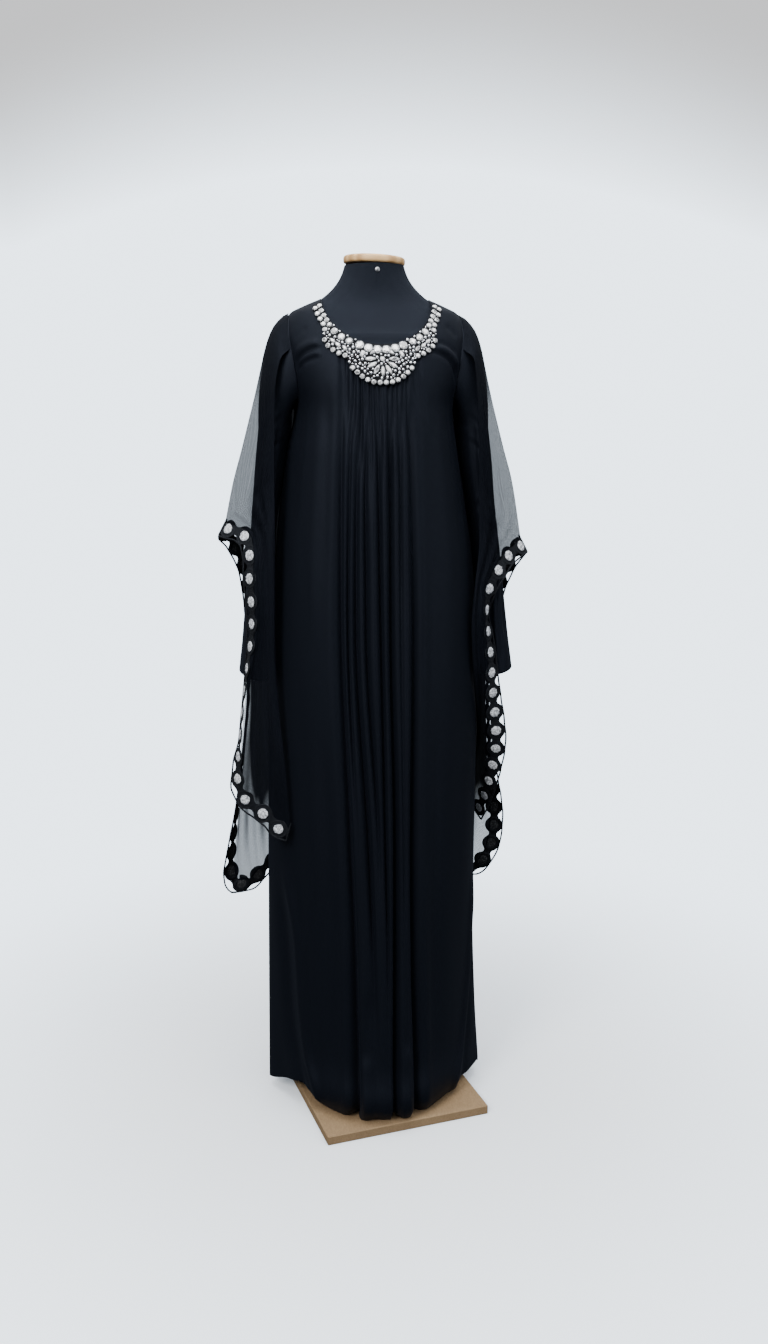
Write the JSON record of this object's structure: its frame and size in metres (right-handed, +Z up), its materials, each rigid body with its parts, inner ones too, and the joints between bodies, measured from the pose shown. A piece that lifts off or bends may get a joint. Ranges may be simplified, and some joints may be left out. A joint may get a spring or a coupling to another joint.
{
  "type": "beaded black abaya robe with net wings on a limbless dress form",
  "caption": "Floor-length black jersey robe with a beaded bib collar and sheer medallion-edged net wings, worn by a limbless dress form on a square board.",
  "frame": {"origin": "centre of the base board's underside, on the dress form's upright axis", "axes": "+Z up along the dress form, the robe faces -Y, +X to the robe's left hand"},
  "size_m": [0.5872, 0.4598, 1.5993],
  "materials": {
    "black_jersey": "matte knit jersey, soft sheen at grazing angles",
    "black_net": "fine sheer net",
    "medallion_lace": "corded black lace rings with white beaded discs",
    "crystal_bib": "faceted clear and silver stones on a black ground",
    "navy_form_cloth": "close smooth weave",
    "cap_wood": "bare turned wood",
    "board": "bare fibreboard",
    "tack_steel": "plain steel"
  },
  "bodies": {
    "root": {"base_board": "board", "stand_pole": "board", "form_body": "navy_form_cloth", "form_neck_cap": "cap_wood", "neck_tack": "tack_steel", "dress_front": "black_jersey", "dress_back": "black_jersey", "sleeve_left": "black_jersey", "sleeve_right": "black_jersey", "neck_binding": "black_jersey", "bib": "crystal_bib", "wing_front_left": "black_net", "lace_front_left": "medallion_lace", "wing_front_right": "black_net", "lace_front_right": "medallion_lace", "wing_back_left": "black_net", "lace_back_left": "medallion_lace", "wing_back_right": "black_net", "lace_back_right": "medallion_lace"}
  },
  "joints": []
}
